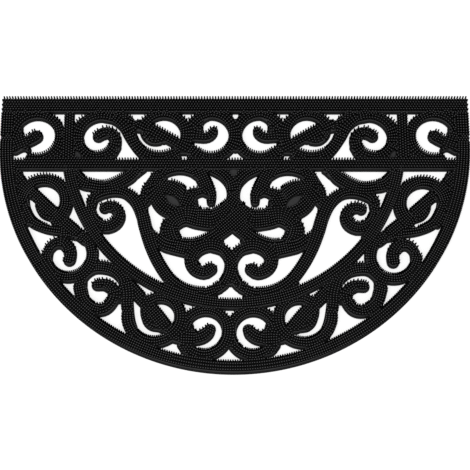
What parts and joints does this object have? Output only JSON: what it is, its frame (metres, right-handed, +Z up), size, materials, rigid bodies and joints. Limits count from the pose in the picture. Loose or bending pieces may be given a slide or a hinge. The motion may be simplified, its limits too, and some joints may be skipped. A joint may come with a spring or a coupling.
{
  "type": "rubber doormat",
  "caption": "Half-round moulded rubber doormat with a straight back edge, wrought-iron style scrollwork cut through it and a bristly top of short rubber pins.",
  "frame": {"origin": "centre of the bounding box on the floor, under the middle of the mat", "axes": "+X along the straight back edge, +Y from the round front towards the straight back edge, +Z up out of the floor"},
  "size_m": [0.762, 0.4572, 0.0125],
  "materials": {
    "rubber": "matt black moulded rubber with a faint sheen"
  },
  "bodies": {
    "root": {"mat": "rubber"}
  },
  "joints": []
}
